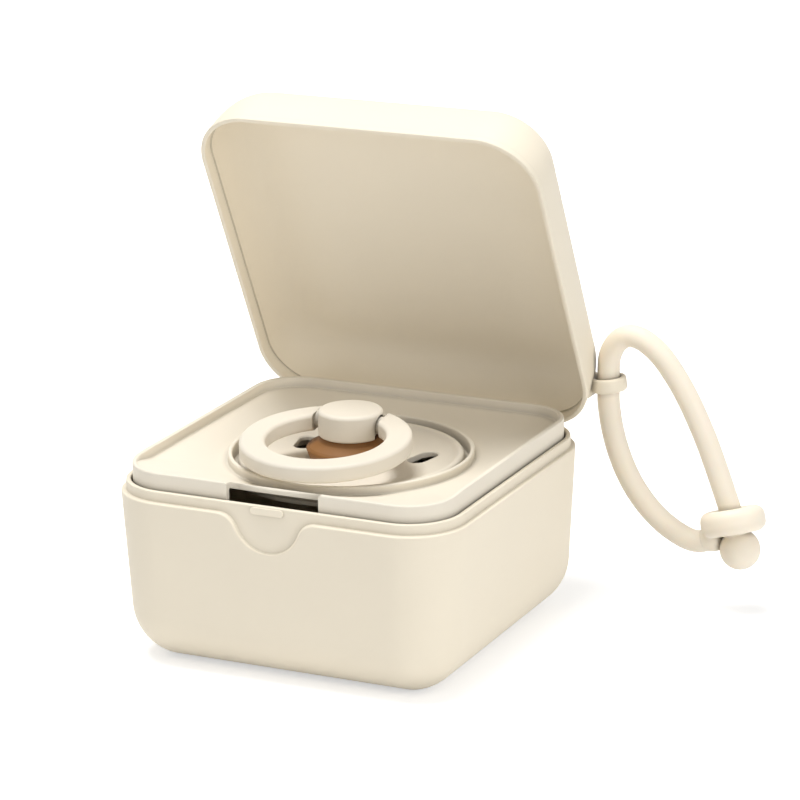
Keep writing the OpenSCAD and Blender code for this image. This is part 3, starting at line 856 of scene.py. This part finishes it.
def tray_column(bearing):
    """One upright slice of the tray at a bearing, as points in order round its section.

    Along the front the deck climbs to the top of the wall; elsewhere a raised rim stands
    round it.
    """
    tray = sizes("tray")
    level = on_shoulder()
    edge = square_point(bearing, tray.half, tray.corner)
    ramp = min(1, max(0, (-edge.y - tray.front_start) / tray.front_run))
    ramp = ramp * ramp * (3 - 2 * ramp)

    def circle(radius, up):
        return Vector((radius * math.cos(bearing), radius * math.sin(bearing), level + up))

    def wall(inset, up):
        point = square_point(bearing, tray.half - inset, tray.corner - inset)
        return Vector((point.x, point.y, level + up))

    outer, top = tray.collar_radius, tray.collar_top
    inner = outer - tray.collar_thick
    bend = quarter(tray.collar_thick * 0.45)
    points = [
        circle(tray.hole, tray.seat - TILT),
        circle(inner - 0.4 * MM, tray.seat),
        circle(inner - 0.1 * MM, tray.seat + 0.12 * MM),
        circle(inner, tray.seat + 0.4 * MM),
    ]
    points += [circle(inner + inward, top - drop) for inward, drop in bend]
    points += [circle(outer - inward, top - drop) for inward, drop in reversed(bend[:-1])]
    points += [
        circle(outer, tray.deck_low + 0.4 * MM),
        circle(outer + 0.12 * MM, tray.deck_low + 0.15 * MM),
    ]

    deck_end = tray.deck_edge + (tray.deck_front - tray.deck_edge) * ramp
    start = circle(outer + 0.4 * MM, tray.deck_low + 0.05 * MM)
    stop = wall(tray.deck_foot, deck_end)
    points += [start.lerp(stop, share) for share in (0, 0.25, 0.5, 0.75, 1)]

    raised = (
        (1.32, -2.0), (1.3, -1.7), (1.3, -0.5), (1.22, -0.2), (0.98, -0.03), (0.65, 0),
        (0.32, -0.03), (0.08, -0.2), (0, -0.5),
    )
    flush = (
        (1.15, -0.72), (1.0, -0.66), (0.85, -0.6), (0.7, -0.55), (0.55, -0.5), (0.4, -0.48),
        (0.22, -0.52), (0.07, -0.66), (0, -0.9),
    )
    for (inset, up), (inset_front, up_front) in zip(raised, flush):
        across = (inset + (inset_front - inset) * ramp) * MM
        points.append(wall(across, tray.top + (up + (up_front - up) * ramp) * MM))
    low, skirt, cut = -tray.skirt_deep, tray.skirt_thick, 0.25 * MM
    under, under_low = deck_end - tray.deck_thick, tray.deck_low - tray.deck_thick
    under_seat = tray.seat - tray.seat_thick
    return points + [
        wall(0, low + cut), wall(cut, low), wall(skirt - cut, low + TILT), wall(skirt, low + cut),
        wall(skirt, under - 0.3 * MM), wall(skirt + 0.3 * MM, under - 0.05 * MM),
        circle(outer + 0.3 * MM, under_low), circle(outer, under_low - 0.3 * MM),
        circle(outer, under_seat + 0.2 * MM), circle(outer - 0.2 * MM, under_seat),
        circle(tray.hole, under_seat + TILT),
    ]


def window_cut():
    """A bmesh of the finger window's cut, which rounds the deck's edge and the wall's two ends."""
    tray = sizes("tray")
    outside, beside = 45, 2.5
    rings = []
    for up, back, grow in (
        (-tray.skirt_deep / MM - 1, 0, 0), (4.7, 0, 0), (4.95, 0.05, 0), (5.15, 0.15, 0),
        (5.3, 0.35, 0), (5.4, 0.6, 0), (5.55, 0.8, 0.08), (5.7, 0.9, 0.29), (5.82, 0.95, 0.56),
        (5.9, 1, 1), (9, 1, 1),
    ):
        half, radius = tray.window_half / MM + grow, tray.window_arc / MM - back
        ends, corner = math.sqrt(radius ** 2 - half ** 2), tray.window_corner / MM
        corners = [(half, -outside, 0), (half, -ends, corner)]
        for x in spread(half - beside, beside - half, 15):
            corners.append((x, -math.sqrt(radius ** 2 - x ** 2), 0))
        corners += [(-half, -ends, corner), (-half, -outside, 0)]
        level = on_shoulder() + up * MM
        rings.append([(x * MM, y * MM, level) for x, y in filleted(corners, closed=True)])
    return skin(rings)


class CASE_OT_tray(bpy.types.Operator):
    """Makes the lift-out tray"""

    bl_idname = "case.tray"
    bl_label = "Tray"

    def execute(self, context):
        tray = sizes("tray")
        bearings = bearings_round(spread(-14 * MM, 14 * MM, 57), tray.half)
        slices = [tray_column(bearing) for bearing in bearings]
        piece = new_object("tray_shell", skin(list(zip(*slices)), closed=True))
        carve(piece, window_cut())
        place_piece(piece, "tray", "tray")
        return {"FINISHED"}


# Pacifier


def raise_to_shoulder():
    """The move from heights above the base's shoulder to heights above the table."""
    return Matrix.Translation((0, 0, on_shoulder()))


def shield_mesh():
    """A bmesh of the shield with its rolled bead."""
    paci = sizes("pacifier")
    radius = paci.bead / 2
    middle = paci.shield_radius - radius
    up = paci.shield_low + radius
    top, under = paci.shield_mid, paci.shield_mid - paci.shield_thick
    bead = [(middle + across, up + rise) for across, rise in arc(radius, -130, 138, 21)]
    return turned([
        (paci.shield_hole, under), (14.5 * MM, under), (16.6 * MM, under + 0.3 * MM),
        (19 * MM, 0.8 * MM), (22.2 * MM, 0.98 * MM),
        *bead, (middle - 1.12 * MM, up + 0.4 * MM), (middle - 1.55 * MM, up + 0.2 * MM),
        (21 * MM, 1.86 * MM), (19 * MM, 1.68 * MM), (17 * MM, 1.57 * MM),
        (14 * MM, top + 0.02 * MM), (10 * MM, top), (paci.shield_hole, top),
    ], closed=True, steps=160)


class CASE_OT_pacifier(bpy.types.Operator):
    """Makes the pacifier's shield, nipple, knob and ring"""

    bl_idname = "case.pacifier"
    bl_label = "Pacifier"

    def execute(self, context):
        self.shield()
        self.nipple()
        self.knob()
        self.ring()
        return {"FINISHED"}

    def shield(self):
        paci = sizes("pacifier")
        piece = new_object("shield_disc", shield_mesh())
        run = (paci.vent_long - paci.vent_wide) / 2
        flare, past = paci.vent_flare, 2 * MM
        top, low = paci.shield_mid + 0.12 * MM, paci.shield_mid - paci.shield_thick
        levels = [(low - past, flare), (low, flare), (low + flare, 0)]
        levels += [(top - drop, grow) for grow, drop in quarter(flare)]
        levels.append((top + past, flare + 0.05 * MM))
        for side in (-1, 1):
            rings = []
            for up, grow in levels:
                radius = paci.vent_wide / 2 + grow
                ends = [(x, y + run) for x, y in arc(radius, 0, 180, 17)]
                ends += [(x, y - run) for x, y in arc(radius, 180, 360, 17)]
                rings.append([(x, y, up) for x, y in ends])
            spot = Matrix.Translation((side * paci.vent_side, paci.vent_back, 0))
            carve(piece, skin(rings), spot @ Matrix.Rotation(-side * paci.vent_splay, 4, "Z"))
        piece.data.transform(raise_to_shoulder())
        place_piece(piece, "pacifier_shield", "pacifier")

    def nipple(self):
        paci = sizes("pacifier")
        middle = paci.bulb - paci.tip
        under, bulb = (paci.shield_mid - paci.shield_thick) / MM, middle / MM
        flange = [
            (0, 6.8, 0), (6.4, 6.8, 0.15), (7, 5.8, 0.5), (9.2, 4.8, 0.3), (9.8, 4.2, 0.5),
            (8.8, 1.5, 0), (6.4, 1.5, 0), (6.4, under, 0), (8, under, 0.3), (8, -1.2, 0.5),
            (5.6, -3, 1.2), (5.2, bulb + 9.6, 2), (6.2, bulb + 7.4, 0),
        ]
        profile = [point * MM for point in filleted(flange)]
        profile += [(across, middle + up) for across, up in arc(paci.bulb, 46, -90, 32)]
        profile[-1] = (0, middle - paci.bulb)
        piece = new_object("nipple_skin", turned(profile))
        piece.data.transform(raise_to_shoulder())
        place_piece(piece, "pacifier_nipple", "rubber")

    def knob(self):
        paci = sizes("pacifier")
        radius, high = paci.knob_radius, paci.knob_high
        side = [(radius, high, paci.knob_edge), (radius, 0, paci.knob_foot)]
        profile = filleted([(0, high, 0), *side, (0, 0, 0)])
        piece = new_object("knob_button", turned(profile, steps=96))
        piece.data.transform(Matrix.Translation((0, 0, on_shoulder() + paci.knob_low)))
        turn = Matrix.Translation(AXLE) @ Matrix.Rotation(paci.ring_turn, 4, "Z")
        channel, mouth, deep = paci.channel, paci.mouth, paci.channel_deep
        inner = radius - paci.mouth_deep
        carve(piece, rod(channel, 4 * radius), turn)
        carve(piece, block((-2 * radius, -channel, -deep), (2 * radius, channel, 0)), turn)
        for side in (-1, 1):
            place = Matrix.Translation((side * (inner + radius / 2), 0, 0))
            carve(piece, rod(mouth, radius), turn @ place)
            ends = sorted((side * inner, side * (inner + radius)))
            carve(piece, block((ends[0], -mouth, -deep), (ends[1], mouth, 0)), turn)
        soften(piece, paci.channel_edge)
        place_piece(piece, "pacifier_knob", "pacifier")

    def ring(self):
        paci = sizes("pacifier")
        band, thick = paci.ring_band, paci.ring_thick
        section = rounded_section(paci.ring_radius - band / 2, band, thick, paci.ring_edge)
        piece = new_object("finger_ring", turned(section, closed=True, steps=144))
        piece.data.transform(Matrix.Translation((0, -paci.ring_reach, 0)))
        ends = paci.knob_radius + paci.ring_gap
        carve(piece, block((-ends, -6 * MM, -thick), (ends, 10 * MM, thick)))
        soften(piece, paci.ring_end)
        carve(piece, rod(paci.axle, 2 * ends + 2 * MM), operation="UNION")
        turn = Matrix.Rotation(paci.ring_turn, 4, "Z") @ Matrix.Rotation(paci.ring_dip, 4, "X")
        piece.data.transform(Matrix.Translation(AXLE) @ turn)
        place_piece(piece, "pacifier_ring", "pacifier")


# Strap


def smooth_route(route, step):
    """Points a small step apart on a smooth curve through the route's points."""
    points = [Vector((x * MM, EYELET.y, z * MM)) for x, z in route]
    ends = [2 * points[0] - points[1], *points, 2 * points[-1] - points[-2]]
    curve = []
    for before, start, stop, after in zip(ends, ends[1:], ends[2:], ends[3:]):
        count = max(2, round((stop - start).length / step))
        for k in range(count):
            t = k / count
            pull = (stop - before) * t + (2 * before - 5 * start + 4 * stop - after) * t * t
            bend = (3 * start - before - 3 * stop + after) * t ** 3
            curve.append(start + (pull + bend) / 2)
    return [*curve, points[-1]]


def cord_mesh(curve, radius, sides=24):
    """A round tube along a curve that lies in the strap's upright plane."""
    rings = []
    last = len(curve) - 1
    for place, point in enumerate(curve):
        ahead = (curve[min(place + 1, last)] - curve[max(place - 1, 0)]).normalized()
        across = Vector((-ahead.z, 0, ahead.x))
        turns = [math.tau * k / sides for k in range(sides)]
        rings.append([
            point + radius * (across * math.cos(turn) + Vector((0, math.sin(turn), 0)))
            for turn in turns
        ])
    return skin(rings)


def route_end(route):
    """The frame at the end of a route, with Z along its last run and X in the strap's plane."""
    (x0, z0), (x1, z1) = route[-2:]
    turn = math.atan2(x1 - x0, z1 - z0)
    return Matrix.Translation((x1 * MM, EYELET.y, z1 * MM)) @ Matrix.Rotation(turn, 4, "Y")


class CASE_OT_strap(bpy.types.Operator):
    """Makes the strap: two stretches of cord, the buttonhole ring and the ball"""

    bl_idname = "case.strap"
    bl_label = "Strap"

    def execute(self, context):
        strap = sizes("strap")
        ring = place_piece(self.button_ring(), "strap_button_ring", "strap")
        ball = place_piece(self.ball(), "strap_ball", "strap")
        stretches = (("strap_long_cord", LONG_ROUTE, ball), ("strap_short_cord", SHORT_ROUTE, ring))
        for node, route, fitting in stretches:
            curve = smooth_route(route, strap.cord * 0.4)
            cord = new_object(node + "_smooth", cord_mesh(curve, strap.cord))
            piece = place_piece(cord, node, "strap")
        return {"FINISHED"}

    def button_ring(self):
        strap = sizes("strap")
        band = strap.ring_radius - strap.ring_hole
        section = rounded_section(strap.ring_radius - band / 2, band, strap.ring_thick, band * 0.49)
        piece = new_object("button_ring", turned(section, closed=True, steps=64))
        lean = Matrix.Rotation(strap.ring_lean, 4, "X")
        seat = route_end(LONG_ROUTE)
        piece.data.transform(seat @ Matrix.Translation((0, 0, -strap.ring_back)) @ lean)
        stub, flare = strap.stub, strap.flare
        rings = [
            [(across, ahead, up) for across, ahead in arc(strap.cord + grow, 0, 352.5, 48)]
            for up, grow in (
                (-0.4 * MM, 0), (0, 0), (stub / 2, flare), (stub, 1.6 * flare),
                (stub + 0.7 * MM, flare), (stub + 1.3 * MM, -2 * flare),
                (stub + 1.6 * MM, -5 * flare),
            )
        ]
        carve(piece, skin(rings), route_end(SHORT_ROUTE), "UNION")
        melt(piece, 0.2 * MM, 30)
        return piece

    def ball(self):
        strap = sizes("strap")
        start = math.degrees(math.asin(strap.cord / strap.ball)) + 4
        outline = [(strap.cord, 0), (strap.cord, strap.ball_neck - strap.ball - 0.3 * MM)]
        curve = arc(strap.ball, start - 90, 90, 40)
        outline += [(across, strap.ball_neck + up) for across, up in curve]
        outline[-1] = (0, strap.ball_neck + strap.ball)
        piece = new_object("ball_end", turned([(0, 0), *outline], steps=64))
        piece.data.transform(route_end(LONG_ROUTE))
        return piece


class CASE_OT_finish_frame(bpy.types.Operator):
    """Gives the CAD nodes that stay in view their material"""

    bl_idname = "case.finish_frame"
    bl_label = "Carried-over nodes"

    def execute(self, context):
        kinds = {slot: kind for kind, slot in SLOTS.items()}
        for part in frame["record"]["subparts"]:
            node = frame["nodes"][part["node"]]
            node.data.materials.clear()
            node.data.materials.append(finish(kinds[part["material_slot"]]))
        return {"FINISHED"}


# Stage


def studio_camera():
    """The camera, at the photograph's viewing angle."""
    studio = sizes("studio")
    turn, rise = studio.bearing, studio.rise
    right = Vector((math.cos(turn), math.sin(turn), 0))
    level_back = Vector((math.sin(turn), -math.cos(turn), 0))
    back = level_back * math.cos(rise) + Vector((0, 0, math.sin(rise)))
    up = back.cross(right)
    tipped_right = right * math.cos(studio.roll) + up * math.sin(studio.roll)
    tipped_up = up * math.cos(studio.roll) - right * math.sin(studio.roll)
    middle = Vector((0, 0, on_shoulder()))

    data = bpy.data.cameras.new("camera")
    data.sensor_fit = "HORIZONTAL"
    data.lens = data.sensor_width * studio.lens / studio.frame_width
    data.shift_x = 0.5 - studio.middle_x / studio.frame_width
    data.shift_y = studio.middle_y / studio.frame_width - 0.5
    data.clip_start = 0.01
    camera = bpy.data.objects.new("camera", data)
    turned = Matrix((tipped_right, tipped_up, back)).transposed().to_4x4()
    camera.matrix_world = Matrix.Translation(middle + back * studio.distance) @ turned
    bpy.context.scene.collection.objects.link(camera)
    bpy.context.scene.camera = camera


def add_lamp(name, place, power, width):
    """A square soft lamp that points at the middle of the case."""
    data = bpy.data.lights.new(name, "AREA")
    data.energy = power
    data.size = width
    lamp = bpy.data.objects.new(name, data)
    place = Vector(place)
    aim = Vector((0, 0, on_shoulder())) - place
    facing = aim.to_track_quat("-Z", "Y").to_matrix().to_4x4()
    lamp.matrix_world = Matrix.Translation(place) @ facing
    bpy.context.scene.collection.objects.link(lamp)


def seen_straight(tree):
    """A socket that is 1 for what the camera sees directly, in gloss or through glass."""
    path = add_node(tree, "LightPath")
    found = path.outputs["Is Camera Ray"]
    for other in ("Is Glossy Ray", "Is Transmission Ray"):
        either = add_node(tree, "Math")
        either.operation = "MAXIMUM"
        tree.links.new(found, either.inputs[0])
        tree.links.new(path.outputs[other], either.inputs[1])
        found = either.outputs[0]
    return found


def light_world():
    """A white backdrop for the camera, and a soft even sky for the rest."""
    studio = sizes("studio")
    world = bpy.data.worlds.new("studio")
    world.use_nodes = True
    bpy.context.scene.world = world
    tree = world.node_tree
    sky = tree.nodes["Background"]
    sky.inputs["Color"].default_value = (1, 1, 1, 1)
    strength = add_node(tree, "MapRange", To_Min=studio.sky, To_Max=1)
    tree.links.new(seen_straight(tree), strength.inputs["Value"])
    tree.links.new(strength.outputs["Result"], sky.inputs["Strength"])


def lay_floor():
    """A wide pale floor that shows white but for the object's soft shadow."""
    studio = sizes("studio")
    mesh = bmesh.new()
    bmesh.ops.create_grid(mesh, x_segments=1, y_segments=1, size=6)
    floor = new_object("floor", mesh)
    material, tree, shader = blank_material("pale_floor")
    shader.inputs["Base Color"].default_value = (0.85, 0.85, 0.85, 1)
    shader.inputs["Roughness"].default_value = 0.9
    shader.inputs["Specular IOR Level"].default_value = 0
    shader.inputs["Emission Color"].default_value = (1, 1, 1, 1)
    lift = add_node(tree, "MapRange", To_Min=0, To_Max=studio.floor_lift)
    tree.links.new(seen_straight(tree), lift.inputs["Value"])
    tree.links.new(lift.outputs["Result"], shader.inputs["Emission Strength"])
    floor.data.materials.append(material)


class CASE_OT_stage(bpy.types.Operator):
    """Sets up the camera, the lamps and the floor"""

    bl_idname = "case.stage"
    bl_label = "Stage"

    def execute(self, context):
        studio = sizes("studio")
        context.scene.view_settings.view_transform = "Standard"
        studio_camera()
        light_world()
        lay_floor()
        add_lamp("key", (-0.15, -0.05, 1.1), studio.key, 0.5)
        add_lamp("front", (-0.5, -1.2, 0.3), studio.front, 0.8)
        add_lamp("side", (1.1, -0.35, 0.35), studio.side, 0.7)
        return {"FINISHED"}


class CASE_PT_panel(bpy.types.Panel):
    """Lists the case's steps"""

    bl_idname = "CASE_PT_panel"
    bl_label = "Pacifier sterilizer case"
    bl_space_type = "VIEW_3D"
    bl_region_type = "UI"
    bl_category = "Case"

    def draw(self, context):
        for operator in OPERATORS:
            self.layout.operator(operator.bl_idname)


GROUPS = {
    "case_base": BaseSizes,
    "case_hinge": HingeSizes,
    "case_lid": LidSizes,
    "case_tray": TraySizes,
    "case_pacifier": PacifierSizes,
    "case_strap": StrapSizes,
    "case_finishes": Finishes,
    "case_studio": StudioSettings,
}
OPERATORS = (
    CASE_OT_stage, CASE_OT_strap, CASE_OT_base, CASE_OT_lid, CASE_OT_tray, CASE_OT_pacifier,
    CASE_OT_finish_frame,
)


def register():
    """Registers the settings, the operators and the panel."""
    for name, group in GROUPS.items():
        bpy.utils.register_class(group)
        setattr(bpy.types.Scene, name, bpy.props.PointerProperty(type=group))
    for operator in OPERATORS:
        bpy.utils.register_class(operator)
    bpy.utils.register_class(CASE_PT_panel)


def unregister():
    """Takes away what register added."""
    bpy.utils.unregister_class(CASE_PT_panel)
    for operator in OPERATORS:
        bpy.utils.unregister_class(operator)
    for name, group in GROUPS.items():
        delattr(bpy.types.Scene, name)
        bpy.utils.unregister_class(group)


def main():
    """Builds the scene."""
    register()
    bpy.ops.case.stage()
    bpy.ops.case.strap()
    bpy.ops.case.base()
    bpy.ops.case.lid()
    bpy.ops.case.tray()
    bpy.ops.case.pacifier()
    bpy.ops.case.finish_frame()


if __name__ == "__main__":
    main()
